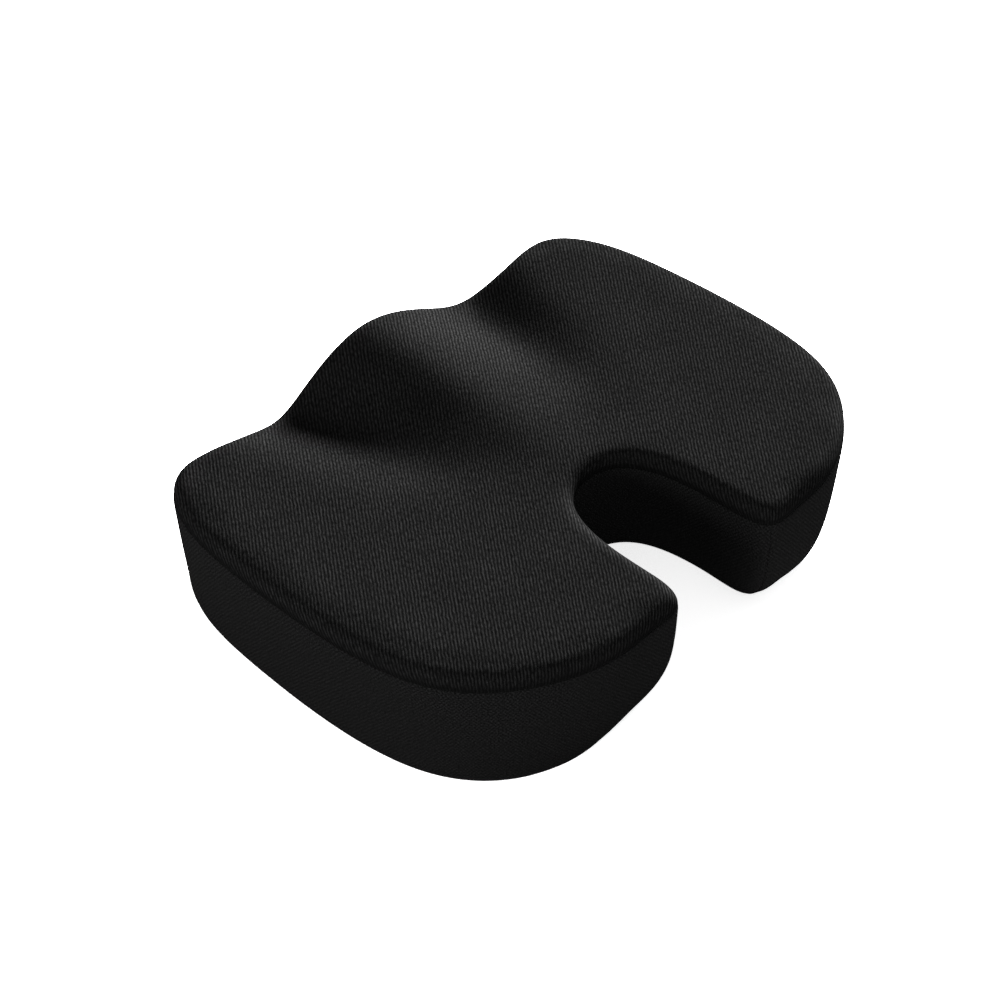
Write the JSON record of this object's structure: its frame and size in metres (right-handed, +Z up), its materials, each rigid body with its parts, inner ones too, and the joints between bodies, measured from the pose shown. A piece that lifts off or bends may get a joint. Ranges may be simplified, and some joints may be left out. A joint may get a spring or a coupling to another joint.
{
  "type": "contoured seat cushion",
  "caption": "Contoured foam seat cushion with a U-shaped rear cut-out, a front pommel between two thigh hollows, and a zipped fabric cover",
  "frame": {"origin": "centre of the resting plane, under the middle of the cushion's width and depth", "axes": "+Z up from the resting plane; -Y is the front, where the sitter's legs go; +Y is the rear, where the cut-out opens; +X is the sitter's left"},
  "size_m": [0.4494, 0.3523, 0.12],
  "materials": {
    "foam": "open-cell foam, matte",
    "liner": "thin white knit",
    "ribbed_fabric": "black ribbed knit, soft sheen",
    "side_knit": "black fine diagonal mesh knit, matte",
    "base_fabric": "black woven fabric with grip dots",
    "zip_tape": "woven tape",
    "zip_coil": "satin nylon",
    "zip_metal": "black satin",
    "label": "white woven tape, blank"
  },
  "bodies": {
    "cushion": {"foam_core": "foam", "liner_top": "liner", "liner_bottom": "liner", "top_panel": "ribbed_fabric", "bottom_panel": "base_fabric", "side_band_left": "side_knit", "side_band_right": "side_knit", "cutout_band": "side_knit", "front_band_upper": "side_knit", "front_band_lower": "side_knit", "zip_tape_upper": "zip_tape", "zip_tape_lower": "zip_tape", "zip_coil_upper": "zip_coil", "zip_coil_lower": "zip_coil", "zip_stop_left": "zip_metal", "zip_stop_right": "zip_metal", "care_label": "label"},
    "slider": {"zip_slider": "zip_metal"},
    "pull": {"zip_pull": "zip_metal"}
  },
  "joints": [
    {"name": "slider_travel", "type": "slide", "parent": "cushion", "child": "slider", "axis": [-1, 0, 0], "range_m": [0, 0.284]},
    {"name": "pull_pivot", "type": "hinge", "parent": "slider", "child": "pull", "pos_m": [0.143, -0.1742, 0.028], "axis": [0, 0, 1], "range_deg": [0, 170]}
  ]
}
